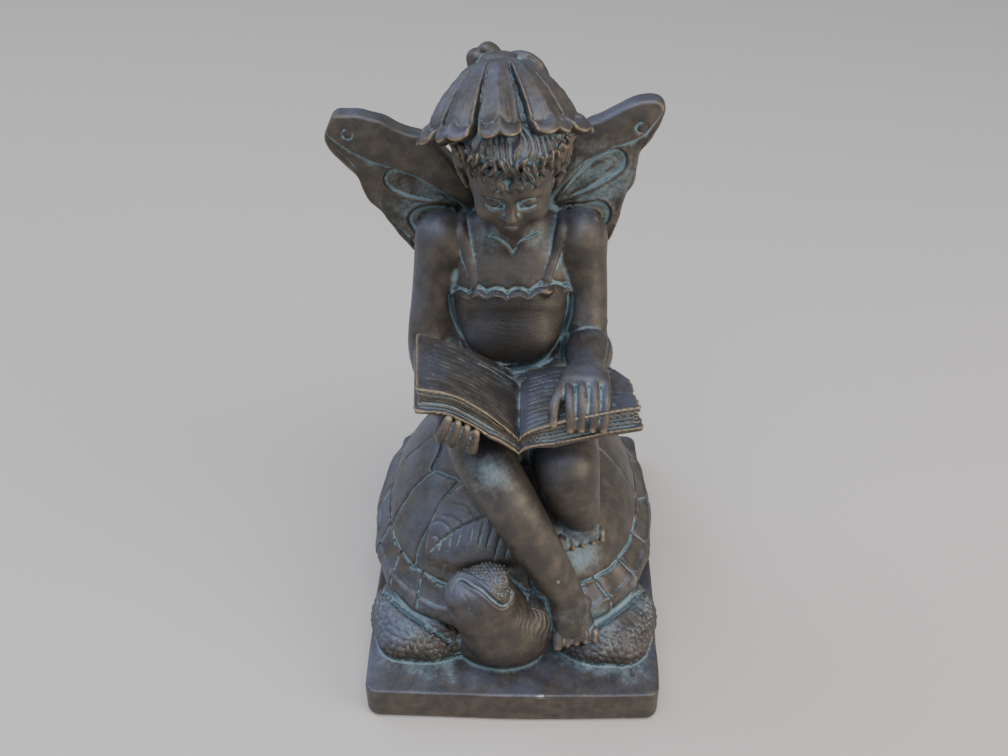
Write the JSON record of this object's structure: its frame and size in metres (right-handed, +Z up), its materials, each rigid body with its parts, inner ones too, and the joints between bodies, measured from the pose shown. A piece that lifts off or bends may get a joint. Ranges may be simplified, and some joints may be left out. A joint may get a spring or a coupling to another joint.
{
  "type": "fairy figurine",
  "caption": "Cast ornament of a fairy in a bell-flower hat, seated on a tortoise and reading an open book, on an oblong plinth.",
  "frame": {"origin": "middle of the plinth's underside", "axes": "+Z up, -Y the front that the fairy faces, +X to the right of someone who looks at the front"},
  "size_m": [0.1087, 0.1352, 0.1982],
  "materials": {
    "bronze_resin": "cast resin with a dark brown bronze-coloured coat, rubbed satin, blue-green patina in the recesses"
  },
  "bodies": {
    "root": {"fairy_figurine": "bronze_resin"}
  },
  "joints": []
}
